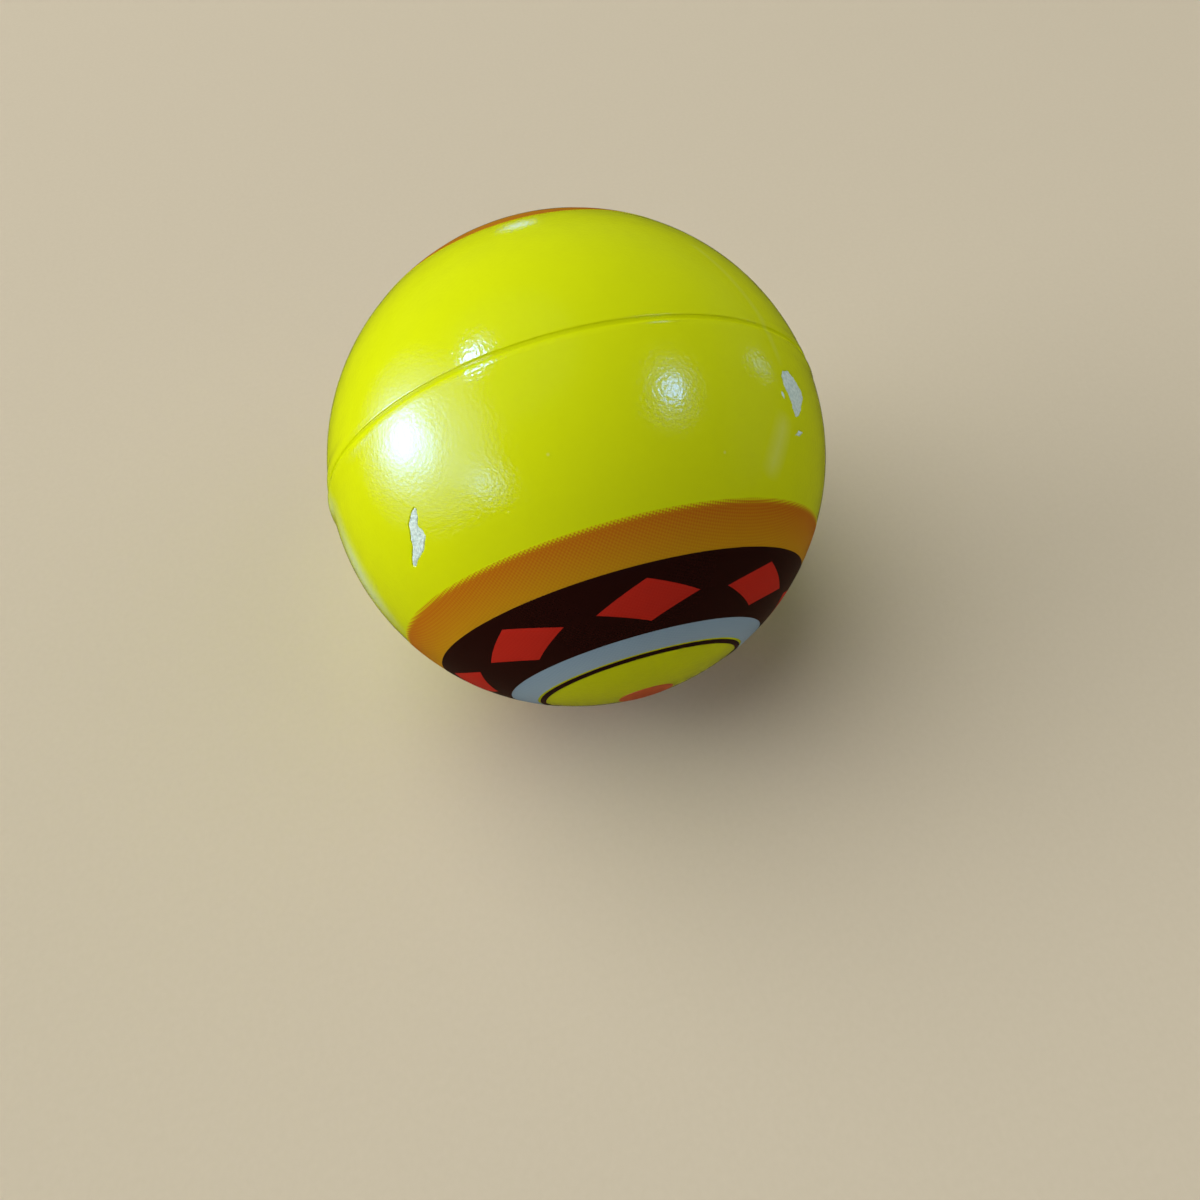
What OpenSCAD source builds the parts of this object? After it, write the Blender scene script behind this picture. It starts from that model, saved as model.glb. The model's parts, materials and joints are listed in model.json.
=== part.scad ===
// Foam stress ball: a soft foam core in a two-piece gloss coat, with a ring print on each half.
// The two coat halves meet in a parting groove between rolled lips.
// The origin is the middle of the flat that the ball rests on, with +Z up.
// The mould axis runs from the front half (-Y) to the rear half (+Y) and leans up towards the rear.

/* [Ball] */
// Diameter over the coat, away from the seam
ball_d = 63; // [50:0.5:90]
// Thickness of the coat
coat_t = 0.8; // [0.6:0.05:1.5]
// Angle of the mould axis above the table as the ball lies
rest_tilt = 13.7; // [11:0.1:20]
// Diameter of the flat that the ball's own weight presses into its underside
rest_flat_d = 7; // [5:0.5:9]

/* [Seam] */
// How far the front lip's crest stands proud of the ball
front_lip_rise = 0.35; // [0.1:0.05:0.6]
// How far the rear lip's crest stands proud of the ball
rear_lip_rise = 0.15; // [0.05:0.05:0.6]
// Distance from the parting plane to each lip's crest
lip_crest_offset = 1; // [0.6:0.1:1.8]
// Radius of a lip's crest, in section
lip_crest_r = 3; // [2:0.5:5]
// Radius of the hollow sweep from a lip down to the ball, in section
lip_sweep_r = 6; // [3:0.5:12]
// Radius that rolls each lip over into the parting groove
lip_edge_r = 0.5; // [0.3:0.05:0.6]

/* [Print] */
// Outer edge of the orange halo on the front half, in degrees from the pole
front_halo_edge = 54.5; // [50:0.5:62]
// Outer edge of the orange halo on the rear half, in degrees from the pole
rear_halo_edge = 49; // [47:0.5:62]
// Width of the orange halo, in degrees
halo_w = 9; // [4:0.5:11]
// Width of the black band, in degrees
band_w = 16; // [13:0.5:18]
// Width of each red diamond across the band, in degrees
diamond_w = 10; // [5:0.5:12]
// Turn about the mould axis that each red diamond takes up, in degrees
diamond_turn = 34; // [20:1:38]
// How many red diamonds each band has
diamond_count = 8; // [6:1:8]
// Width of the pale ring, in degrees
pale_w = 5; // [3:0.5:6]
// Width of the fine dark line inside the pale ring, in degrees
line_w = 1.2; // [0.8:0.1:2]
// Bare stretch between one ring and the next, in degrees
ring_gap = 0.6; // [0.4:0.1:1]
// Edge of the dot on each pole, in degrees from the pole
dot_edge = 6; // [3:0.5:8]

/* [Layers] */
// Thickness of the ink films
ink_t = 0.1; // [0.06:0.02:0.2]
// Clearance kept between one layer or piece and the next
layer_gap = 0.05; // [0.03:0.01:0.1]

/* [Hidden] */
$fn = 96;

coat_yellow = "#e6e012";
foam_white = "#e9ece0";
halo_orange = "#dd8a1f";
band_black = "#1c100d";
diamond_red = "#c9291d";
pale_blue = "#93a9bd";
dot_coral = "#d2643c";

ball_r = ball_d / 2;
core_r = ball_r - coat_t - layer_gap;
ink_r = ball_r + layer_gap;
rest_h = sqrt(pow(ball_r, 2) - pow(rest_flat_d / 2, 2));

// A length that reaches past the ball from its centre, for cutting shapes
far = 2 * ball_d;

// Half of the hairline where the two lips butt
parting = layer_gap / 2;

// Each print is laid out from the outer edge of its halo inwards, in degrees from the pole
function band_edge(halo_edge) = halo_edge - halo_w - ring_gap;
function band_mid(halo_edge) = band_edge(halo_edge) - band_w / 2;
function pale_edge(halo_edge) = band_edge(halo_edge) - band_w - ring_gap;
function line_edge(halo_edge) = pale_edge(halo_edge) - pale_w - ring_gap;

function polar(r, angle) = r * [cos(angle), sin(angle)];

// Centre of the arc of radius r that touches a circle round the origin and a smaller one at d along an axis,
// both from outside, on the left of that axis: its distance along the axis and away from it
function touching(r_ball, r_crest, d, r) =
    let (along = (pow(r_ball + r, 2) - pow(r_crest + r, 2) + d * d) / (2 * d))
    [along, sqrt(pow(r_ball + r, 2) - along * along)];

// Turns a mould with its axis on Z into the way the ball lies, rear pole to +Y
module as_it_lies() {
    translate([0, 0, rest_h]) rotate([rest_tilt - 90, 0, 0]) children();
}

// The front half is the rear half's mirror image in the parting plane
module on_front() {
    mirror([0, 0, 1]) children();
}

// Filled section of one coat half, with the mould axis on the left and the parting plane below
module half_section(rise) {
    crest_d = ball_r + rise - lip_crest_r;
    crest_angle = asin(lip_crest_offset / (ball_r + rise));
    crest = polar(crest_d, crest_angle);
    sweep = touching(ball_r, lip_crest_r, crest_d, lip_sweep_r);
    sweep_c = polar(sweep[0], crest_angle) + polar(sweep[1], crest_angle + 90);
    edge_z = parting + lip_edge_r;
    edge_reach = sqrt(pow(lip_crest_r - lip_edge_r, 2) - pow(crest[1] - edge_z, 2));
    edge_c = [crest[0] + edge_reach, edge_z];
    outward = 2 * lip_edge_r * (edge_c - crest) / norm(edge_c - crest);
    difference() {
        intersection() {
            union() {
                circle(ball_r);
                translate(crest) circle(lip_crest_r);
                difference() {
                    polygon([[0, 0], crest, sweep_c]);
                    translate(sweep_c) circle(lip_sweep_r);
                }
            }
            translate([0, parting]) square(far);
        }
        difference() {
            polygon([edge_c, [edge_c[0], 0], [edge_c[0] + outward[0], 0], edge_c + outward]);
            translate(edge_c) circle(lip_edge_r);
        }
    }
}

module coat_half(rise) {
    rotate_extrude() difference() {
        half_section(rise);
        circle(ball_r - coat_t);
    }
}

// A film of ink between two angles from the pole
module ink_ring(inner, outer) {
    rotate_extrude() intersection() {
        difference() {
            circle(ink_r + ink_t);
            circle(ink_r);
        }
        polygon([[0, 0], polar(far, 90 - inner), polar(far, 90 - outer)]);
    }
}

// Prisms that cut the diamonds' outlines out of a band, grown all round by a clearance.
// A diamond's side tips lie a little poleward of its middle, which keeps them on the band's centre line.
module diamond_prisms(middle, grow) {
    half_w = ink_r * sin(diamond_w / 2);
    half_l = ink_r * sin(middle) * sin(diamond_turn / 2);
    side = norm([half_w, half_l]);
    p = half_w + grow * side / half_l;
    q = half_l + grow * side / half_w;
    tip = -ink_r * sin(middle) * cos(middle) * (1 - cos(diamond_turn / 2));
    for (i = [0 : diamond_count - 1])
        rotate([0, middle, i * 360 / diamond_count])
            linear_extrude(far) polygon([[-p, 0], [tip, -q], [p, 0], [tip, q]]);
}

module halo(halo_edge) {
    color(halo_orange) ink_ring(halo_edge - halo_w, halo_edge);
}

module band_ring(halo_edge) {
    ink_ring(band_edge(halo_edge) - band_w, band_edge(halo_edge));
}

module band(halo_edge) {
    color(band_black) difference() {
        band_ring(halo_edge);
        diamond_prisms(band_mid(halo_edge), layer_gap);
    }
}

module diamonds(halo_edge) {
    color(diamond_red) intersection() {
        band_ring(halo_edge);
        diamond_prisms(band_mid(halo_edge), 0);
    }
}

module pale_ring(halo_edge) {
    color(pale_blue) ink_ring(pale_edge(halo_edge) - pale_w, pale_edge(halo_edge));
}

module fine_line(halo_edge) {
    color(band_black) ink_ring(line_edge(halo_edge) - line_w, line_edge(halo_edge));
}

module dot() {
    color(dot_coral) ink_ring(0, dot_edge);
}

module foam_core() {
    color(foam_white) as_it_lies() sphere(core_r);
}

module front_coat() {
    color(coat_yellow) difference() {
        as_it_lies() on_front() coat_half(front_lip_rise);
        translate([-ball_d, -ball_d, -far]) cube([2 * ball_d, 2 * ball_d, far]);
    }
}

module rear_coat() {
    color(coat_yellow) as_it_lies() coat_half(rear_lip_rise);
}

foam_core();
front_coat();
rear_coat();
as_it_lies() on_front() halo(front_halo_edge);  // front_halo
as_it_lies() on_front() band(front_halo_edge);  // front_band
as_it_lies() on_front() diamonds(front_halo_edge);  // front_diamonds
as_it_lies() on_front() pale_ring(front_halo_edge);  // front_pale_ring
as_it_lies() on_front() fine_line(front_halo_edge);  // front_line
as_it_lies() on_front() dot();  // front_dot
as_it_lies() halo(rear_halo_edge);  // rear_halo
as_it_lies() band(rear_halo_edge);  // rear_band
as_it_lies() diamonds(rear_halo_edge);  // rear_diamonds
as_it_lies() pale_ring(rear_halo_edge);  // rear_pale_ring
as_it_lies() fine_line(rear_halo_edge);  // rear_line
as_it_lies() dot();  // rear_dot
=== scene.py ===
# %% [markdown]
# # A foam stress ball
# A stress ball is soft foam moulded in a two-part mould, with a gloss paint skin and a print on each half.
# The solid model already holds every piece at its real size, so it is loaded first and nothing is moved.
# Every surface below is measured from it, which keeps the looks and the solids in one frame.

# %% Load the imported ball
import itertools
import json
import math

import bpy
import numpy as np
from mathutils import Matrix, Vector


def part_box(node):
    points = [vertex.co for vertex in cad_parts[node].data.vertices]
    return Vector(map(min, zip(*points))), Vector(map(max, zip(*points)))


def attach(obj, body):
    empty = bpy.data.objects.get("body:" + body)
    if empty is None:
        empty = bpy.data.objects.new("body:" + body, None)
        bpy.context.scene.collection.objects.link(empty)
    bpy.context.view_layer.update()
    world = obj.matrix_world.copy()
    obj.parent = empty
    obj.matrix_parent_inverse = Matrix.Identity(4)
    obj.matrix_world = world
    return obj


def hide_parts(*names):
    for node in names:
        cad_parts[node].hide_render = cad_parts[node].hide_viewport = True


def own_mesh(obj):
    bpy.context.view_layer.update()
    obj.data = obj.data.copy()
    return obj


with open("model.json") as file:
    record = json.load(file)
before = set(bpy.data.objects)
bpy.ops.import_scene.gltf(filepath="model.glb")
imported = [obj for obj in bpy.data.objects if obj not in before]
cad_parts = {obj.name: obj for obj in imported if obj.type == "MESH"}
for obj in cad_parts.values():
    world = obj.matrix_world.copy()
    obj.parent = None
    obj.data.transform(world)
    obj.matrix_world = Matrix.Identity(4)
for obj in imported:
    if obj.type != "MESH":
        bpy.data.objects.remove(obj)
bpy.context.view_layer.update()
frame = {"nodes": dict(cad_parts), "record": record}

print("nodes loaded:", ", ".join(sorted(frame["nodes"])))

# %% [markdown]
# ## The ball's own directions
# A ball has no corners to measure from, so the mould's axis takes their place.
# It runs from the middle of the front print to the middle of the rear one, and each half has its pole there.
# A point is then an angle from a pole, a turn about it and a height, like latitude and longitude on a globe.
# Reading these from the solids, and not typing them in, lets the looks follow if the ball is made larger.

# %% Measure the ball
MM = 0.001


def node_points(node):
    """All corners of a solid's mesh, as rows of x, y and z in metres."""
    vertices = frame["nodes"][node].data.vertices
    points = np.empty(3 * len(vertices), np.float32)
    vertices.foreach_get("co", points)
    return points.reshape(-1, 3).astype(float)


def box_middle(node):
    """The point halfway between a solid's lowest and highest corners."""
    low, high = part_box(node)
    return np.array((low + high) / 2)


centre = box_middle("foam_core")
foam_r = np.linalg.norm(node_points("foam_core") - centre, axis=1).max()
ball_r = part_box("rear_coat")[1].z - centre[2]
rear_axis = box_middle("rear_dot") - box_middle("front_dot")
rear_axis /= np.linalg.norm(rear_axis)
across = np.array([1.0, 0.0, 0.0])
up = np.cross(across, rear_axis)
halves = {"front": (across, -rear_axis), "rear": (-across, rear_axis)}


def on_ball(half, angle, turn, radius):
    """Points at an angle from a half's pole and a turn about it, at a radius from the ball's centre.
    The direction is cos(angle) times the pole, plus sin(angle) times a spoke, which turns from side to up."""
    side, pole = halves[half]
    angle, turn, radius = (part[..., None] for part in np.broadcast_arrays(angle, turn, radius))
    spoke = np.cos(turn) * side + np.sin(turn) * up
    return centre + radius * (np.cos(angle) * pole + np.sin(angle) * spoke)


def pole_angles(half, node):
    """The least and greatest angle from a half's pole that a solid reaches."""
    outward = node_points(node) - centre
    angles = np.arccos(outward @ halves[half][1] / np.linalg.norm(outward, axis=1))
    return angles.min(), angles.max()


print(f"ball {2 * ball_r / MM:.1f} mm across, axis {math.degrees(math.asin(rear_axis[2])):.1f} degrees up")

# %% [markdown]
# ## The camera
# The photograph was taken from close by. Its perspective is strong, so a guessed lens would bend the shape.
# The ball's outline and its parting line fix the lens, the distance and the direction together.
# The optical centre lies above the middle of the square frame. The camera's shift gives that with no tilt.

# %% Camera
frame_px = 1200
optical_centre_px = (600, 452)
ball_centre_px = (578, 456.6)
focal_px = 890
camera_depth = 116.7 * MM
view_azimuth = math.radians(-15.8)
view_elevation = math.radians(52)

# Unit vectors: from the ball back to the camera, and to the right and up in the picture
level_back = np.array([math.sin(view_azimuth), -math.cos(view_azimuth), 0.0])
back = math.cos(view_elevation) * level_back + [0, 0, math.sin(view_elevation)]
right = np.array([math.cos(view_azimuth), math.sin(view_azimuth), 0.0])
image_up = np.cross(back, right)
ball_right = (ball_centre_px[0] - optical_centre_px[0]) / focal_px * camera_depth
ball_up = (optical_centre_px[1] - ball_centre_px[1]) / focal_px * camera_depth
camera_place = centre + back * camera_depth - right * ball_right - image_up * ball_up

camera = bpy.data.objects.new("camera", bpy.data.cameras.new("camera"))
bpy.context.collection.objects.link(camera)
camera.matrix_world = Matrix.Translation(camera_place) @ Matrix(np.stack([right, image_up, back], 1)).to_4x4()
camera.data.lens = focal_px / frame_px * camera.data.sensor_width
camera.data.shift_y = (optical_centre_px[1] - frame_px / 2) / frame_px
camera.data.clip_start = 10 * MM
bpy.context.scene.camera = camera
bpy.context.scene.view_settings.view_transform = "Standard"
print(f"camera {camera_depth / MM:.0f} mm from the ball, lens {camera.data.lens:.1f} mm")

# %% [markdown]
# ## Nodes and colours
# Every finish below is a small tree of shader nodes.
# One helper adds a node, sets it and links it, so that a tree reads as a list of what feeds what.
# Colours are written as sRGB hex, as a paint chart gives them.
# Light adds up in linear values, so one function turns each colour to those.


# %% Helpers for materials
def linear(hex_colour):
    """Linear colour of an sRGB hex: a straight slope near black and a power of 2.4 above it."""
    srgb = np.array([int(hex_colour[i : i + 2], 16) for i in (1, 3, 5)]) / 255
    return (*np.where(srgb <= 0.04045, srgb / 12.92, ((srgb + 0.055) / 1.055) ** 2.4), 1.0)


def add(tree, kind, inputs=None, **settings):
    """Adds a node. An input that is a socket is linked, and any other input is set as a value."""
    node = tree.nodes.new("ShaderNode" + kind)
    for name, value in settings.items():
        setattr(node, name, value)
    for socket, value in (inputs or {}).items():
        if isinstance(value, bpy.types.NodeSocket):
            tree.links.new(value, node.inputs[socket])
        else:
            node.inputs[socket].default_value = value
    return node


def new_material(name, **sockets):
    """A material with its node tree and its shader, whose sockets are set by name with _ for a space."""
    material = bpy.data.materials.new(name)
    material.use_nodes = True
    shader = material.node_tree.nodes["Principled BSDF"]
    for socket, value in sockets.items():
        shader.inputs[socket.replace("_", " ")].default_value = value
    return material, material.node_tree, shader


print("yellow as linear light:", np.round(linear("#d7e507"), 3))

# %% [markdown]
# ## Floor and room
# The ball lies on a plain pale floor, so that nothing draws the eye from it.
# The floor is a matt board that runs into the backdrop's colour a metre or two away.
# A gloss ball would also mirror that pale floor, and its yellow would look washed out.
# Light Path tells rays apart: one from the camera sees the backdrop, and any other sees a dim room.

# %% Floor and world
floor_w = 40.0
floor_drop = 0.01 * MM
sweep_start = 0.5
sweep_end = 2.0
horizon_blur = 0.05
backdrop = linear("#c3bbae")
corners = floor_w / 2 * np.array([[-1, -1, 0], [1, -1, 0], [1, 1, 0], [-1, 1, 0]]) - [0, 0, floor_drop]
floor_mesh = bpy.data.meshes.new("floor")
floor_mesh.from_pydata(corners.tolist(), [], [(0, 1, 2, 3)])
floor = bpy.data.objects.new("floor", floor_mesh)
bpy.context.collection.objects.link(floor)

# Matt painted board: even and pale, with a fine grain and no gloss
board, tree, shader = new_material("matt painted board", Roughness=0.75, Specular_IOR_Level=0.0)
grain_mm = 0.8
place = add(tree, "TexCoord").outputs["Object"]
grain = add(tree, "TexNoise", {"Vector": place, "Scale": 1 / (grain_mm * MM), "Detail": 3})
shade = add(
    tree,
    "Mix",
    {0: grain.outputs["Fac"], 6: linear("#d3c7b1"), 7: linear("#d8ccb7")},
    data_type="RGBA",
)
tree.links.new(shade.outputs[2], shader.inputs["Base Color"])
away = add(tree, "VectorMath", {0: place}, operation="LENGTH").outputs["Value"]
far_off = add(
    tree,
    "MapRange",
    {"Value": away, "From Min": sweep_start, "From Max": sweep_end},
    interpolation_type="SMOOTHSTEP",
)
far_board = add(tree, "Emission", {"Color": backdrop})
sweep = add(tree, "MixShader", {0: far_off.outputs[0], 1: shader.outputs[0], 2: far_board.outputs[0]})
tree.links.new(sweep.outputs[0], tree.nodes["Material Output"].inputs["Surface"])
floor_mesh.materials.append(board)

# The room in the gloss is dim, as a room is beside its lamps, with brown ground in place of the floor
floor.visible_glossy = False
world = bpy.data.worlds.new("room")
bpy.context.scene.world = world
world.use_nodes = True
tree = world.node_tree
height = add(tree, "SeparateXYZ", {0: add(tree, "TexCoord").outputs["Generated"]}).outputs["Z"]
above = add(tree, "MapRange", {"Value": height, "From Min": -horizon_blur, "From Max": horizon_blur})
room = add(
    tree,
    "Mix",
    {0: above.outputs["Result"], 6: linear("#4a3c2e"), 7: linear("#414345")},
    data_type="RGBA",
)
seen = add(tree, "LightPath").outputs["Is Camera Ray"]
around = add(tree, "Mix", {0: seen, 6: room.outputs[2], 7: backdrop}, data_type="RGBA")
tree.links.new(around.outputs[2], tree.nodes["Background"].inputs["Color"])
print(f"floor {floor_w:.0f} m wide")

# %% [markdown]
# ## Lights
# The ball has a window to its left and a lamp above its right, with dimmer lights round about.
# Its gloss mirrors them, so each one is given by its direction and by how wide it looks from the ball.
# Their mirror images then fall where the photograph has them, and no highlight has to be painted.
# A lamp is far brighter than anything it lights, so glows and fills are separate lights.
# A glow is seen in the gloss alone. A fill lights the ball at a plain level and has no mirror image.

# %% Lights
lamp_distance = 3.0
oval_gap = 0.02


def room_light(name, azimuth, elevation, wide, tall, spin, level, colour, distance=lamp_distance):
    """An oval light seen from the ball at an azimuth from +X and an elevation, as wide and tall as given.
    All its angles are in degrees, and spin turns it about the line to the ball.
    Level is how bright a white card facing it looks, as long as the light is even.
    Its power is level times the square of pi times the distance."""
    azimuth, elevation = math.radians(azimuth), math.radians(elevation)
    towards = Vector((math.cos(azimuth), math.sin(azimuth), 0)) * math.cos(elevation)
    towards += Vector((0, 0, math.sin(elevation)))
    light = bpy.data.lights.new(name, "AREA")
    light.shape = "ELLIPSE"
    light.size = 2 * distance * math.tan(math.radians(wide / 2))
    light.size_y = 2 * distance * math.tan(math.radians(tall / 2))
    light.energy = level * (math.pi * distance) ** 2
    light.color = linear(colour)[:3]
    lamp = bpy.data.objects.new(name, light)
    lamp.visible_camera = False
    bpy.context.collection.objects.link(lamp)
    aim = towards.to_track_quat("Z", "Y").to_matrix() @ Matrix.Rotation(math.radians(spin), 3, "Z")
    lamp.matrix_world = Matrix.Translation(Vector(centre) + distance * towards) @ aim.to_4x4()
    return lamp


def soften(light):
    """Makes a light brightest in its middle: its strength falls to nothing at its rim on an S curve.
    Its parametric coordinates run from 0 to 1, so its middle is at a half and its rim is a half away."""
    middle = (0.5, 0.5, 0)
    rim = 0.5
    light.use_nodes = True
    tree = light.node_tree
    spot = add(tree, "NewGeometry").outputs["Parametric"]
    away = add(tree, "VectorMath", {0: spot, 1: middle}, operation="DISTANCE").outputs["Value"]
    fade = add(
        tree,
        "MapRange",
        {"Value": away, "From Min": rim, "From Max": 0.0},
        interpolation_type="SMOOTHSTEP",
    )
    tree.links.new(fade.outputs["Result"], tree.nodes["Emission"].inputs["Strength"])


sky_blue = "#7da8ff"
soft_white = "#fffffa"
# A glow has an azimuth, an elevation, a spin and some ovals, each with a width, a height and a level.
# The sheen is the window's light on the ground, which the ball's lower left edge mirrors.
glows = {
    "window": (166.8, 13.8, 8, ((22, 16, 0.2),)),
    "window_glow": (169, 13.7, 45, ((38, 29, 1.05), (52, 40, 2.1))),
    "window_haze": (174.2, 20.2, 35, ((88, 68, 3.75),)),
    "lamp_over_right": (-19, 50.3, 5, ((16, 12, 0.27), (24, 18, 0.11), (40, 32, 0.24))),
    "lamp_over_left": (147, 48, 0, ((15, 11, 0.75), (26, 19, 0.28))),
    "desk_lamp": (-151.3, 30.2, 22, ((15, 10, 0.06), (34, 25, 0.26))),
    "far_window": (12, 8, 0, ((8, 16, 0.02), (16, 20, 0.012))),
    "back_window": (86, -5, 0, ((9, 8, 0.025),)),
    "ground_sheen": (138, -52.5, 0, ((27, 25, 0.036),)),
}
for name, (azimuth, elevation, spin, ovals) in glows.items():
    for number, (wide, tall, level) in enumerate(ovals):
        distance = lamp_distance + number * oval_gap
        glow = room_light(name, azimuth, elevation, wide, tall, spin, level, sky_blue, distance)
        glow.visible_diffuse = False
        soften(glow.data)
# A fill has an azimuth, an elevation, a width, a height, a spin and a level
fills = {
    "window_fill": (168.2, 13.5, 50, 38, 35, 0.73),
    "room_fill": (147, 60, 60, 60, 0, 0.86),
    "lamp_fill": (-19, 50.3, 30, 24, 0, 0.08),
    "right_fill": (5, 5, 70, 50, 0, 0.4),
}
for name, light in fills.items():
    fill = room_light(name, *light, soft_white)
    fill.visible_glossy = False
print("lights:", ", ".join([*glows, *fills]))

# %% [markdown]
# ## Surfaces from grids
# Every piece of the ball is made of grids of points, with rows across it and columns round it.
# The columns always close on themselves.
# A ring's rows close as well.
# Any other piece starts and ends in a pole, which is a single point with a fan of triangles round it.
# Each mesh keeps its points' places at rest, in millimetres, so that a pattern stays put when it is squeezed.

# %% Helpers for surfaces
sharp_angle = math.radians(50)


def skin(name, grids, ring=False, **fields):
    """One mesh from grids of points, each of rows by columns by three, closed as a ring or with two poles.
    A field is a grid of numbers, or of rows of three, that is kept with the points under its name."""
    points, faces, start = [], [], 0

    def merged(grid):
        """A grid as a list, with its first and last row cut down to one entry each where they are poles."""
        rows = [grid] if ring else [grid[:1, :1], grid[1:-1], grid[-1:, :1]]
        return np.concatenate([row.reshape(-1, *grid.shape[2:]) for row in rows])

    for grid in grids:
        rows, columns = grid.shape[:2]
        number = np.arange(rows * columns).reshape(rows, columns)
        if not ring:
            number = np.clip(number - columns + 1, 0, (rows - 2) * columns + 1)
            number[0], number[-1] = 0, (rows - 2) * columns + 1
        number = number + start
        below = np.roll(number, -1, axis=0)
        quads = np.stack([number, below, np.roll(below, -1, axis=1), np.roll(number, -1, axis=1)], axis=-1)
        if ring:
            faces += quads.reshape(-1, 4).tolist()
        else:
            faces += quads[1:-2].reshape(-1, 4).tolist()
            faces += quads[0][:, [0, 1, 2]].tolist() + quads[-2][:, [0, 1, 3]].tolist()
        points.append(merged(grid))
        start += len(points[-1])
    points = np.concatenate(points)
    mesh = bpy.data.meshes.new(name)
    mesh.from_pydata(points.tolist(), [], faces)
    mesh.shade_smooth()
    mesh.set_sharp_from_angle(angle=sharp_angle)
    fields = {key: np.concatenate([merged(grid) for grid in value]) for key, value in fields.items()}
    fields["rest_mm"] = (points - centre) / MM
    for key, values in fields.items():
        kind, entry = ("FLOAT", "value") if values.ndim == 1 else ("FLOAT_VECTOR", "vector")
        mesh.attributes.new(key, kind, "POINT").data.foreach_set(entry, values.astype(np.float32).ravel())
    piece = bpy.data.objects.new(name, mesh)
    bpy.context.collection.objects.link(piece)
    print(f"{name}: {len(points)} points, {len(faces)} faces")
    return piece


def smooth_step(value):
    """0 below 0, 1 above 1, and an S curve of 3 t^2 - 2 t^3 between."""
    share = np.clip(value, 0, 1)
    return share * share * (3 - 2 * share)


scramble_weights = (12.99, 78.23, 37.72)
scramble_scale = 43758.55


def lattice_noise(points, size):
    """Smooth random numbers from -1 to 1: one at each corner of a lattice of cubes, blended across each cube.
    A corner's number starts as a large multiple of the sine of a weighted sum of its coordinates.
    Only the fraction of that is kept, which looks random."""
    cell = np.floor(points / size)
    blend = smooth_step(points / size - cell)
    total = 0
    for corner in itertools.product((0, 1), repeat=3):
        value = np.sin((cell + corner) @ scramble_weights) * scramble_scale
        total = total + np.prod(np.where(corner, blend, 1 - blend), axis=-1) * (value - np.floor(value))
    return 2 * total - 1


fine_count = 6000


def crowded(low, high, step, zones):
    """Values from low to high that lie a step apart, or closer inside zones.
    A zone is a start, an end and its own step.
    The count of grid lines is summed along the way, and the lines lie at even steps of that sum."""
    fine = np.linspace(low, high, fine_count)
    density = np.full_like(fine, 1 / step)
    for start, end, dense_step in zones:
        inside = smooth_step((fine - start) / step) * smooth_step((end - fine) / step)
        density = np.maximum(density, inside / dense_step)
    count = np.concatenate([[0], np.cumsum((density[1:] + density[:-1]) / 2 * np.diff(fine))])
    return np.interp(np.linspace(0, count[-1], math.ceil(count[-1]) + 1), count, fine)


# %% [markdown]
# ## How the pieces move
# Squeezing the ball brings its rear half towards its front half, and everything flattens along that line.
# Each piece rides on its half and stands for its solid there.

# %% Tie a piece to the frame
bodies = frame["record"]["behaviour"]["bodies"]
half_of_node = {node: body for body, nodes in bodies.items() for node in nodes}


def install(piece, node, material):
    """Puts a finish on a piece, and lets it stand for a solid and ride on its half."""
    piece.data.materials.append(material)
    body = half_of_node[node]
    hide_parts(node)
    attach(piece, body)
    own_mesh(piece)


# %% [markdown]
# ## Chips in the paint
# Knocks have broken flakes out of the paint, and the white foam shows where they were.
# A picture of a chip would look flat from the side, so the coat is pressed in and the foam comes up in it.
# Each chip has an axis of its own, from its top end to its bottom end, with a left and a right edge along it.

# %% Chips
chip_depth = 0.4 * MM
chip_edge = 0.06 * MM
chip_rag_mm = 0.14
rag_size = 0.55 * MM
# A chip is looked for only near its middle, and any direction further off counts as well outside it
near_chip_cos = 0.95
far_outside_mm = -9.0


class Chip:
    """A flake lost from the front half. Each end is an angle from the pole and a turn, in degrees.
    Along its axis, and sideways to its left and right edges, it is measured in mm from its middle."""

    def __init__(self, top, bottom, along, left, right):
        ends = [on_ball("front", *np.radians(end), 1.0) - centre for end in (top, bottom)]
        self.middle = (ends[0] + ends[1]) / np.linalg.norm(ends[0] + ends[1])
        self.down = ends[1] - ends[0]
        self.down /= np.linalg.norm(self.down)
        self.sideways = np.cross(self.middle, self.down)
        self.along, self.left, self.right = along, left, right

    def inside(self, outward):
        """How many mm a direction lies inside the chip: the least distance to its edges and its ends.
        The ball is projected on a plane that touches it at the chip's middle."""
        ahead = outward @ self.middle
        near = ahead > near_chip_cos
        ahead = np.where(near, ahead, 1.0)
        down = ball_r / MM * (outward @ self.down) / ahead
        sideways = ball_r / MM * (outward @ self.sideways) / ahead
        room_left = sideways - np.interp(down, self.along, self.left)
        room_right = np.interp(down, self.along, self.right) - sideways
        room_ends = np.minimum(down - self.along[0], self.along[-1] - down)
        room = np.minimum(np.minimum(room_left, room_right), room_ends)
        return np.where(near, room, far_outside_mm)


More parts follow.
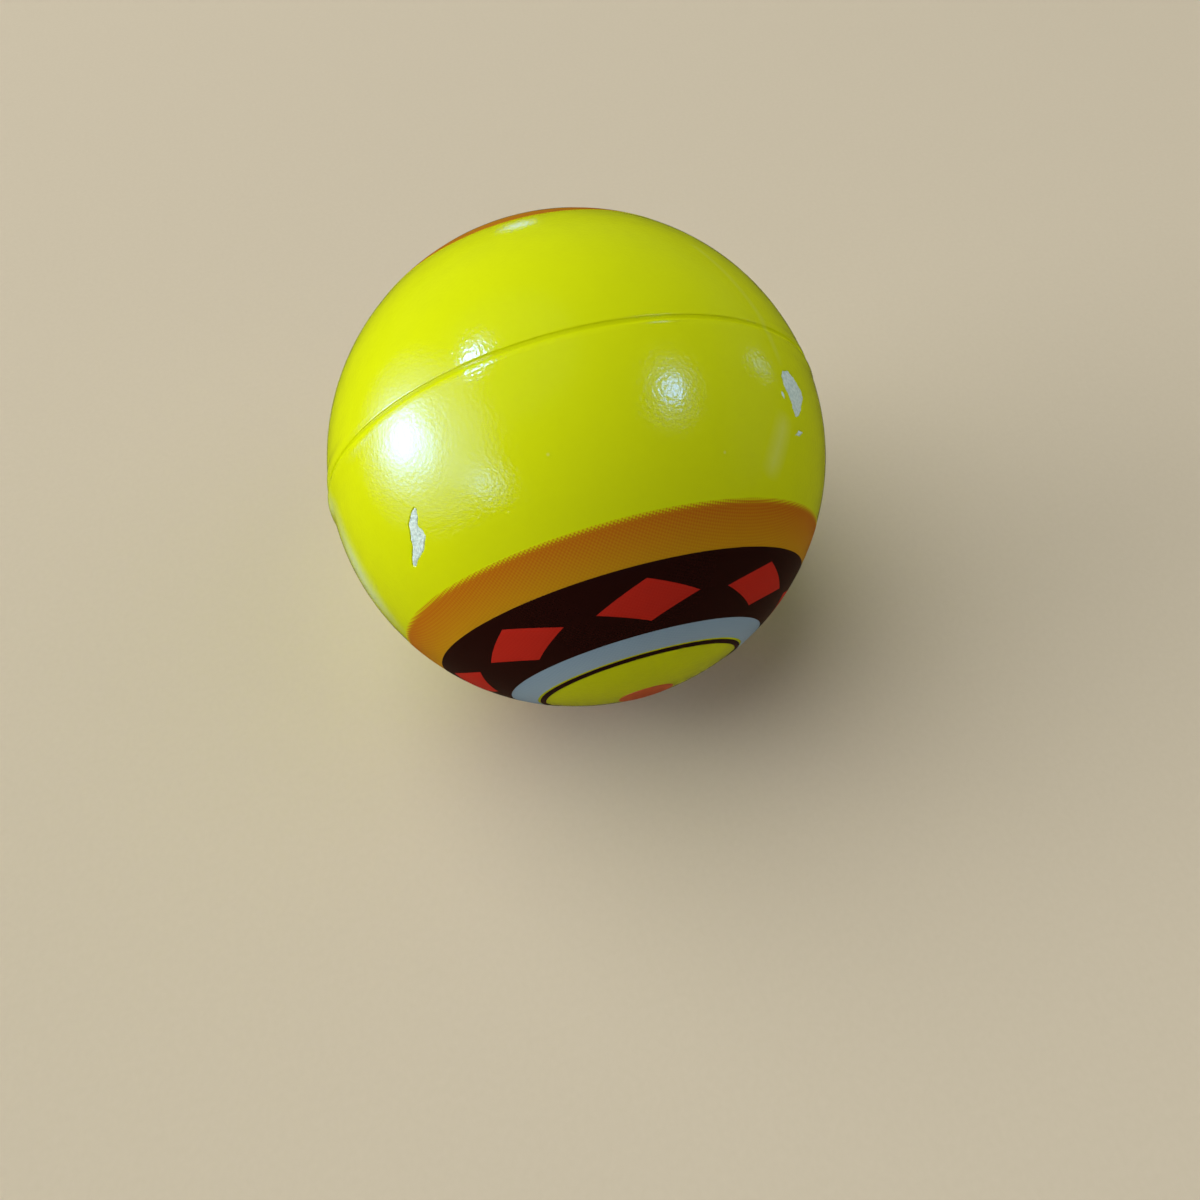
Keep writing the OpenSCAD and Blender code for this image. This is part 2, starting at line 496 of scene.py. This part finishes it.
chips = [
    Chip(
        (70.1, 134.6),
        (61.4, 143.6),
        along=[-3.3, -2.6, -1.5, -1.2, -0.7, 0.3, 1.1, 2.1, 3.2],
        left=[-0.1, -0.35, -0.6, -0.6, -0.4, -0.3, 0.05, -0.15, -0.1],
        right=[0.1, 0.4, 0.5, 1.15, 1.45, 1.45, 1.2, 0.7, 0.1],
    ),
    Chip(
        (80.5, 46.4),
        (71.6, 44.3),
        along=[-2.6, -2.0, -0.9, -0.1, 0.8, 1.6, 2.5],
        left=[-0.9, -1.5, -1.45, -1.1, -0.95, -0.85, -0.5],
        right=[0.3, 1.1, 1.9, 2.45, 2.2, 1.5, 0.4],
    ),
    Chip((67.6, 45.3), (68.5, 42.4), along=[-0.9, 0.0, 0.9], left=[0, -0.25, 0], right=[0, 0.25, 0]),
    Chip((76.0, 49.9), (74.4, 49.2), along=[-0.5, 0.0, 0.5], left=[0, -0.25, 0], right=[0, 0.2, 0]),
]
# Where a grid has to be fine for the chips: from one angle or turn to another, and the step between
chip_angles = [np.radians((59, 83, 0.22))]
chip_turns = [np.radians((37, 54, 0.22)), np.radians((129, 148, 0.22))]


def chip_inside(outward):
    """How many mm a direction lies inside the nearest chip, with the chip's edge made ragged by noise."""
    rag = chip_rag_mm * lattice_noise(outward * ball_r, rag_size)
    return np.max([chip.inside(outward) for chip in chips], axis=0) + rag


print(len(chips), "chips in the front half")

# %% [markdown]
# ## The foam ball
# The ball is filled with one piece of moulded foam, white and full of fine cells.
# It only shows in the chips, so its grid is fine there and wide elsewhere.
# There it comes up nearly to the paint's surface and is grainy, as torn foam is.

# %% Foam ball
foam_under_paint = 0.03 * MM
foam_grain = 0.05 * MM
foam_grain_size = 0.3 * MM
foam_rise_reach_mm = 0.5

foam, tree, shader = new_material("moulded polyurethane foam", Roughness=0.9, Specular_IOR_Level=0.25)
# Open cells a third of a millimetre wide make torn foam matt, with painted shade in them: the colour turns
# darker where the bump sinks, and the whole foam is tinted bluish, painted for the cool light on it
cell_mm = 0.35
cell_depth = 0.08 * MM
rest = add(tree, "Attribute", attribute_name="rest_mm").outputs["Vector"]
cells = add(tree, "TexVoronoi", {"Vector": rest, "Scale": 1 / cell_mm})
tone = add(tree, "MapRange", {"Value": cells.outputs["Distance"], "From Min": 0.2, "From Max": 0.8})
white = add(
    tree,
    "Mix",
    {0: tone.outputs["Result"], 6: linear("#e2f4ef"), 7: linear("#c6deda")},
    data_type="RGBA",
)
pits = add(
    tree,
    "Bump",
    {"Height": cells.outputs["Distance"], "Distance": cell_depth, "Strength": 0.8},
    invert=True,
)
tree.links.new(white.outputs[2], shader.inputs["Base Color"])
tree.links.new(pits.outputs["Normal"], shader.inputs["Normal"])

foam_step = math.radians(4)
foam_angle = crowded(0, math.pi, foam_step, chip_angles)[:, None]
foam_turn = crowded(0, 2 * math.pi, foam_step, chip_turns)[None, :-1]
outward = on_ball("front", foam_angle, foam_turn, 1.0) - centre
shown = smooth_step((chip_inside(outward) + foam_rise_reach_mm) / foam_rise_reach_mm)
lift = shown * (ball_r - foam_under_paint - foam_r)
lift = lift + shown * foam_grain * lattice_noise(outward * ball_r, foam_grain_size)
foam_ball = skin("foam_ball", [on_ball("front", foam_angle, foam_turn, foam_r + lift)])
install(foam_ball, "foam_core", foam)

# %% [markdown]
# ## The gloss paint
# The skin is flexible polyurethane paint, sprayed into the mould before the foam is poured.
# It gives the eye a deep even yellow under a clear gloss, so the shader is a matt base with a clear coat.
# Sprayed paint is never quite flat. Its fine dimples, called orange peel, make mirror images wobble.
# They are too fine to model, so a bump tilts the clear coat alone and leaves the colour under it even.

# %% Paint
paint_gloss = {
    "Roughness": 0.4,
    "IOR": 1.5,
    "Specular_IOR_Level": 0.0,
    "Coat_Weight": 1.0,
    "Coat_Roughness": 0.08,
    "Coat_IOR": 1.5,
}
wave_mm = 2.4
wave_height = 0.03 * MM
peel_mm = 0.42
peel_height = 0.027 * MM
mottle_mm = 9
scuff_mm = 2.5
scuffed_gloss = 0.8
groove_gloss = 0.15
groove_gloss_reach = 0.3


def orange_peel(tree, shader):
    """Dimples a shader's gloss: broad waves a few millimetres long, which carry the spray's fine dimples."""
    rest = add(tree, "Attribute", attribute_name="rest_mm").outputs["Vector"]
    wave = add(tree, "TexNoise", {"Vector": rest, "Scale": 1 / wave_mm, "Detail": 0})
    waves = add(tree, "Bump", {"Height": wave.outputs["Fac"], "Distance": wave_height})
    peel = add(tree, "TexNoise", {"Vector": rest, "Scale": 1 / peel_mm, "Detail": 1})
    dimples = add(
        tree,
        "Bump",
        {"Height": peel.outputs["Fac"], "Distance": peel_height, "Normal": waves.outputs["Normal"]},
    )
    tree.links.new(dimples.outputs["Normal"], shader.inputs["Coat Normal"])


paint, tree, shader = new_material("gloss polyurethane paint", **paint_gloss)
orange_peel(tree, shader)
rest = add(tree, "Attribute", attribute_name="rest_mm").outputs["Vector"]
mottle = add(tree, "TexNoise", {"Vector": rest, "Scale": 1 / mottle_mm, "Detail": 2})
yellow = add(
    tree,
    "Mix",
    {0: mottle.outputs["Fac"], 6: linear("#d7e507"), 7: linear("#dce807")},
    data_type="RGBA",
)
# The parting groove is painted darker: partly dirt, partly painted shade in the hollow
groove = add(tree, "Attribute", attribute_name="groove").outputs["Fac"]
yellow_with_groove_dirt_and_shade = add(tree, "Mix", {0: groove, 6: yellow.outputs[2], 7: linear("#c9d506")}, data_type="RGBA")
scuffs = add(tree, "TexNoise", {"Vector": rest, "Scale": 1 / scuff_mm, "Detail": 6, "Roughness": 0.7})
dulled = add(
    tree,
    "MapRange",
    {
        "Value": scuffs.outputs["Fac"],
        "From Min": 0.3,
        "From Max": 0.75,
        "To Min": 1.0,
        "To Max": scuffed_gloss,
    },
)
clean = add(
    tree,
    "MapRange",
    {"Value": groove, "From Max": groove_gloss_reach, "To Min": 1, "To Max": groove_gloss},
)
gloss = add(tree, "Math", {0: dulled.outputs["Result"], 1: clean.outputs["Result"]}, operation="MULTIPLY")
tree.links.new(gloss.outputs[0], shader.inputs["Coat Weight"])
print("paint with orange peel", peel_mm, "mm wide")

# %% [markdown]
# ## Marks in the paint
# Handling has left two fine scratches, a broad rub, and specks where a grain of paint came off.
# None has a depth that a finger would feel, so they are drawn in the paint's colour and not in its shape.
# Scratches and the rub run along great circles between two ends, and fade with the distance from that line.

# %% Scratches, a rub and specks
scratch_mm = 0.7
scratch_strength = 0.06
rub_mm = 1.9
rub_strength = 0.16
speck_mm = 0.22
speck_strength = 0.3
mark_fade_mm = 0.2
scratches = [
    (("rear", 66.6, 122.5), ("rear", 89.7, 130.8), scratch_mm, scratch_strength),
    (("rear", 84.5, 129.2), ("front", 81.0, 48.2), scratch_mm, scratch_strength),
    (("front", 71.8, 49.3), ("front", 58.0, 55.5), rub_mm, rub_strength),
]
specks = [("front", 68.9, 104.2), ("front", 63.1, 68.4)]


def direction(half, angle, turn):
    """The unit vector from the ball's centre to an angle from a pole and a turn, both in degrees."""
    return on_ball(half, math.radians(angle), math.radians(turn), 1.0) - centre


def nearness(tree, distance, reach, strength):
    """The strength where a distance in mm is nothing, falling to 0 where it is as much as the reach."""
    return add(tree, "MapRange", {"Value": distance, "From Max": reach, "To Min": strength, "To Max": 0})


marks = []
for start, end, reach, strength in scratches:
    first, last = direction(*start), direction(*end)
    pole = np.cross(first, last) / np.linalg.norm(np.cross(first, last))
    middle = (first + last) / np.linalg.norm(first + last)
    off_line = add(tree, "VectorMath", {0: rest, 1: pole}, operation="DOT_PRODUCT")
    off_line = add(tree, "Math", {0: off_line.outputs["Value"]}, operation="ABSOLUTE")
    along = add(tree, "VectorMath", {0: rest, 1: middle}, operation="DOT_PRODUCT")
    end_mm = ball_r / MM * float(first @ middle)
    reached = add(
        tree,
        "MapRange",
        {"Value": along.outputs["Value"], "From Min": end_mm, "From Max": end_mm + mark_fade_mm},
    )
    line = nearness(tree, off_line.outputs[0], reach, strength).outputs["Result"]
    marks.append(add(tree, "Math", {0: line, 1: reached.outputs[0]}, operation="MULTIPLY").outputs[0])
for speck in specks:
    away = add(tree, "VectorMath", {0: rest, 1: direction(*speck) * ball_r / MM}, operation="DISTANCE")
    marks.append(nearness(tree, away.outputs["Value"], speck_mm, speck_strength).outputs["Result"])
marked = marks[0]
for mark in marks[1:]:
    marked = add(tree, "Math", {0: marked, 1: mark}, operation="MAXIMUM").outputs[0]
worn = add(tree, "Mix", {0: marked, 6: yellow_with_groove_dirt_and_shade.outputs[2], 7: linear("#eef2c4")}, data_type="RGBA")
tree.links.new(worn.outputs[2], shader.inputs["Base Color"])
print(len(marks), "marks in the paint")

# %% [markdown]
# ## The parting line
# The mould's two parts leave a parting line: a narrow groove between two lips, where a little paint stood up.
# In section, the ball's curve sweeps up to a lip's crest, rolls down and drops into the groove on an S curve.
# The crest and the sweep have the radii of the solid's section, so the lips match it where they are full.
# They stand up at the ball's left and right ends, and between those only a short fine bead is left of them.

# %% Lips
lip_crest_offset = 1.0 * MM
lip_crest_r = 3.0 * MM
lip_sweep_r = 6.0 * MM
lip_least_share = 0.02
lip_left_share = 0.93
lip_left_start = 0.74
lip_left_reach = 0.22
lip_right_share = 0.3
lip_right_start = 0.55
lip_right_reach = 0.3


def lip_share(leftward):
    """How much of its full height a lip has: nearly all at the ball's left end, and some at its right end.
    Leftward runs from -1 at the right end to 1 at the left end. Each end's share comes in on an S curve."""
    left_end = smooth_step((leftward - lip_left_start) / lip_left_reach)
    right_end = smooth_step((-leftward - lip_right_start) / lip_right_reach)
    return lip_least_share + lip_left_share * left_end + lip_right_share * right_end


def lip_height(distance, rise):
    """Height of a lip above the ball at a distance from the parting line.
    It falls from the crest as the square of the distance over twice the crest's radius.
    Then it meets the ball on a hollow curve of the sweep's radius, with the same slope where the two join."""
    away = np.abs(distance - lip_crest_offset)
    reach = np.sqrt(2 * rise * (lip_crest_r + lip_sweep_r))
    crest = rise - away**2 / (2 * lip_crest_r)
    sweep = np.maximum(reach - away, 0) ** 2 / (2 * lip_sweep_r)
    return np.where(away < reach * lip_crest_r / (lip_crest_r + lip_sweep_r), crest, sweep)


print(f"between the ends a lip keeps {lip_least_share:.0%} of its height")

# %% [markdown]
# ## The two halves of the coat
# Each half of the skin is its section turned about the mould's axis, with an inner wall for thickness.
# Its grid is fine beside the parting line, and in the front half round the chips too, and wide elsewhere.
# The paint is painted darker in the groove, for dirt and for shade, and is duller there, so the mesh keeps
# how far into the groove each point is.

# %% Coat halves
roll_starts = {"front": 1.2 * MM, "rear": 0.2 * MM}
roll_r = 6.0 * MM
groove_half_ws = {"front": 0.6 * MM, "rear": 0.28 * MM}
groove_depth = 0.09 * MM
groove_floor_share = 0.2
bead_offset = 0.55 * MM
bead_half_w = 0.2 * MM
bead_heights = {"front": 0.085 * MM, "rear": 0.0}
bead_middle = -0.23
bead_reach = 0.1
foam_clearance = 0.05 * MM
paint_inside_r = foam_r + foam_clearance
inner_rows = 24
coat_step = math.radians(2)
# The fine zones reach past the parting line, at 90 degrees, so that the grid is still fine there
lip_zones = [np.radians((83, 95, 0.4)), np.radians((87, 95, 0.09))]


def coat_half(half, angle_zones, turn_zones, relief):
    """One half of the coat as a closed shell: from the outer pole to the groove and back on the inner wall.
    Relief is how far the outside is pressed in, as a function of the direction from the ball's centre.
    Near the parting line the surface rolls down on an arc, as the square of the way in over twice its radius.
    A fine bead, a bell in section and in height along its run, lies beside the groove.
    In the groove, the height goes on down to the groove's floor on an S curve."""
    rise = np.linalg.norm(node_points(half + "_coat") - centre, axis=1).max() - ball_r
    turn = crowded(0, 2 * math.pi, coat_step, turn_zones)[None, :-1]
    angle = crowded(0, math.pi / 2, coat_step, angle_zones + lip_zones)[:, None]
    distance = (math.pi / 2 - angle) * ball_r
    outward = on_ball(half, angle, turn, 1.0) - centre
    leftward = -np.cos(turn) * halves[half][0][0]
    height = lip_height(distance, rise * lip_share(leftward))
    height = height - np.maximum(roll_starts[half] - distance, 0) ** 2 / (2 * roll_r)
    bead = bead_heights[half] * np.exp(-(((leftward - bead_middle) / bead_reach) ** 2))
    height = height + bead * np.exp(-(((distance - bead_offset) / bead_half_w) ** 2))
    in_groove = smooth_step((1 - distance / groove_half_ws[half]) / (1 - groove_floor_share)) + 0 * turn
    height = height + in_groove * (-groove_depth - height) - relief(outward)

    inner_angle = np.linspace(math.pi / 2, 0, inner_rows)[:, None]
    inner_height = np.full((inner_rows, turn.shape[1]), paint_inside_r - ball_r)
    points = on_ball(
        half,
        np.concatenate([angle, inner_angle]),
        turn,
        ball_r + np.concatenate([height, inner_height]),
    )
    points[..., 2] = np.maximum(points[..., 2], 0)
    return skin(half + "_coat_skin", [points], groove=[np.concatenate([in_groove, 0 * inner_height])])


def chip_relief(outward):
    """How far the paint is pressed in: nothing outside a chip, and its full depth past a steep S curve."""
    return chip_depth * smooth_step(0.5 + chip_inside(outward) * MM / (2 * chip_edge))


front_coat = coat_half("front", chip_angles, chip_turns, chip_relief)
rear_coat = coat_half("rear", [], [], lambda outward: 0)
install(front_coat, "front_coat", paint)
install(rear_coat, "rear_coat", paint)

# %% [markdown]
# ## Printed inks
# Each half carries a pad print: a soft pad picks the ink up from a flat plate and presses it on the ball.
# The plate breaks its tones into a screen of dots, a quarter of a millimetre apart, which mix in the eye.
# Ink lies on the paint as a film, so each colour is a thin closed strip and not a picture in the paint.

# %% Inks
ink_gloss = {**paint_gloss, "Coat_Weight": 0.5}
screen_mm = 0.36
screen_turn = math.radians(30)
dot_strength = 0.16
rim_dot_share = 0.2
rim_w = 0.09


def ink(name, dark, light, spread, rim=None):
    """A printed colour: a screen of dots that goes from a dark tone to a light one as fade goes from 0 to 1.
    The screen is a sum of two sine waves, added to fade. A tone is pure past a half less or plus the spread.
    The real screen is a quarter of a millimetre wide. It is drawn half as wide again, so that it shows.
    A rim is the colour that the dots thin out to along the outer edge."""
    material, tree, shader = new_material(name, **ink_gloss)
    plate = add(tree, "Attribute", attribute_name="plate_mm").outputs["Vector"]
    fade = add(tree, "Attribute", attribute_name="fade").outputs["Fac"]
    pitch = 2 * math.pi / screen_mm
    turned = add(
        tree,
        "Mapping",
        {"Vector": plate, "Rotation": (0, 0, screen_turn), "Scale": (pitch, pitch, 1)},
    )
    waves = add(tree, "VectorMath", {0: turned.outputs[0]}, operation="SINE")
    dots = add(
        tree,
        "VectorMath",
        {0: waves.outputs[0], 1: (dot_strength, dot_strength, 0)},
        operation="DOT_PRODUCT",
    )
    cover = add(tree, "Math", {0: fade, 1: dots.outputs["Value"]}, operation="ADD")
    share = add(
        tree,
        "MapRange",
        {"Value": cover.outputs[0], "From Min": 0.5 - spread, "From Max": 0.5 + spread},
    )
    tone = add(
        tree,
        "Mix",
        {0: share.outputs["Result"], 6: linear(dark), 7: linear(light)},
        data_type="RGBA",
    )
    if rim:
        inwards = add(
            tree,
            "Math",
            {0: dots.outputs["Value"], 1: rim_dot_share, 2: fade},
            operation="MULTIPLY_ADD",
        )
        thin = add(
            tree,
            "MapRange",
            {"Value": inwards.outputs[0], "From Max": rim_w, "To Min": 1, "To Max": 0},
        )
        tone = add(
            tree,
            "Mix",
            {0: thin.outputs["Result"], 6: tone.outputs[2], 7: linear(rim)},
            data_type="RGBA",
        )
    tree.links.new(tone.outputs[2], shader.inputs["Base Color"])
    orange_peel(tree, shader)
    return material


inks = {
    "orange_ink": ink("orange pad-print ink", "#bb6411", "#c89515", 0.6, rim="#d4d908"),
    "black_ink": ink("black pad-print ink", "#210806", "#2c0e0b", 1.2),
    "red_ink": ink("red pad-print ink", "#bb2219", "#cd3325", 1.2),
    "pale_ink": ink("pale blue pad-print ink", "#8aa9c7", "#a9c3db", 1.2),
    "coral_ink": ink("coral pad-print ink", "#c9532c", "#d66c3e", 1.2),
}
print("inks:", ", ".join(inks))

# %% [markdown]
# ## The ring print
# The print on each half is a plain ring pattern about the pole.
# From outside in: an orange halo, a black band with red diamonds, a pale ring, a fine dark line and a dot.
# A film's top face follows the ball, and its under face lies a hair inside the paint, so that no edge floats.
# Inks are printed one over another, so each film stands a little higher than those that it covers.

# %% Films of ink
ink_top = 0.03 * MM
ink_under = 0.05 * MM
overprint = 0.015 * MM
film_step = math.radians(1)
ring_columns = 360
dot_rows = 8
dot_columns = 120
diamond_rows = 10
diamond_columns = 80
diamond_gap = math.radians(3)


def plate_mm(angle, turn):
    """A point's place on the flat printing plate, in mm: as far from its middle as the ball's arc is long."""
    angle, turn = np.broadcast_arrays(angle, turn)
    return ball_r / MM * np.stack([angle * np.cos(turn), angle * np.sin(turn), 0 * angle], axis=-1)


def there_and_back(values):
    """Values along a film's top face and back along its under face, and which of them are on the top."""
    values = np.concatenate([values, values[::-1]])[:, None]
    return values, np.arange(len(values))[:, None] < len(values) / 2


def film(name, half, angle, turn, top, fade, layer, ring=False):
    """A film of ink over grids of angles and turns.
    Its top face stands above the paint by the ink's own height, and by one overprint more for each layer."""
    radius = np.where(top, ball_r + ink_top + layer * overprint, ball_r - ink_under)
    points = [on_ball(half, a, t, radius) for a, t in zip(angle, turn)]
    places = [plate_mm(a, t) for a, t in zip(angle, turn)]
    fades = [np.broadcast_to(fade, point.shape[:2]) for point in points]
    return skin(name, points, ring, plate_mm=places, fade=fades)


def ring_film(half, part, layer, grow_in=0.0, grow_out=0.0):
    """A ring of ink between the angles that its solid reaches, grown under a neighbour that overprints it.
    Its fade runs from 0 at its outer edge to 1 at its inner edge."""
    inner, outer = pole_angles(half, f"{half}_{part}")
    inner, outer = inner - grow_in, outer + grow_out
    angle, top = there_and_back(np.linspace(inner, outer, math.ceil((outer - inner) / film_step) + 1))
    turn = np.linspace(0, 2 * math.pi, ring_columns, endpoint=False)[None, :]
    fade = (outer - angle) / (outer - inner)
    return film(f"{half}_{part}_ink", half, [angle], [turn], top, fade, layer, ring=True)


def dot_film(half, layer):
    """A round dot of ink on the pole, as far out as its solid reaches."""
    outer = pole_angles(half, half + "_dot")[1]
    angle, top = there_and_back(np.linspace(0, outer, dot_rows))
    turn = np.linspace(0, 2 * math.pi, dot_columns, endpoint=False)[None, :]
    return film(half + "_dot_ink", half, [angle], [turn], top, angle / outer, layer)


def diamond_films(half, layer):
    """The diamonds of a band, as many, as wide and as long as their solids.
    Round each one's middle, its edge lies where |across| / half width + |along| / half length is 1."""
    node = half + "_diamonds"
    inner, outer = pole_angles(half, node)
    outward = node_points(node) - centre
    turns = np.sort(np.arctan2(outward @ up, outward @ halves[half][0]))
    gaps = np.diff(turns, append=turns[0] + 2 * math.pi)
    count = np.count_nonzero(gaps > diamond_gap)
    half_turn = np.abs(turns[np.abs(turns) < math.pi / count]).max()
    out, top = there_and_back(np.linspace(0, 1, diamond_rows))
    spin = np.linspace(0, 2 * math.pi, diamond_columns, endpoint=False)[None, :]
    edge = out / (np.abs(np.cos(spin)) + np.abs(np.sin(spin)))
    angle = (inner + outer) / 2 + edge * np.cos(spin) * (outer - inner) / 2
    turn = edge * np.sin(spin) * half_turn
    starts = 2 * math.pi / count * np.arange(count)
    print(half, "band has", count, "diamonds")
    return film(half + "_diamonds_ink", half, [angle] * count, turn + starts[:, None, None], top, 0.5, layer)


print(f"an ink film stands {ink_top / MM:.2f} mm above the paint")

# %% [markdown]
# ## Both prints
# Both halves carry the same pattern, a little smaller on the rear one, so one loop lays it on each.
# The halo and the pale ring run a little way under the black band, as printers let inks overlap.
# Without that, a thin yellow line would show wherever the plates were not quite in register.

# %% Print both halves
overlap = math.radians(0.8)
for half in halves:
    films = {
        "halo": ("orange_ink", ring_film(half, "halo", 0, grow_in=overlap)),
        "band": ("black_ink", ring_film(half, "band", 2)),
        "diamonds": ("red_ink", diamond_films(half, 3)),
        "pale_ring": ("pale_ink", ring_film(half, "pale_ring", 1, grow_out=overlap)),
        "line": ("black_ink", ring_film(half, "line", 1)),
        "dot": ("coral_ink", dot_film(half, 1)),
    }
    for part, (slot, piece) in films.items():
        install(piece, f"{half}_{part}", inks[slot])
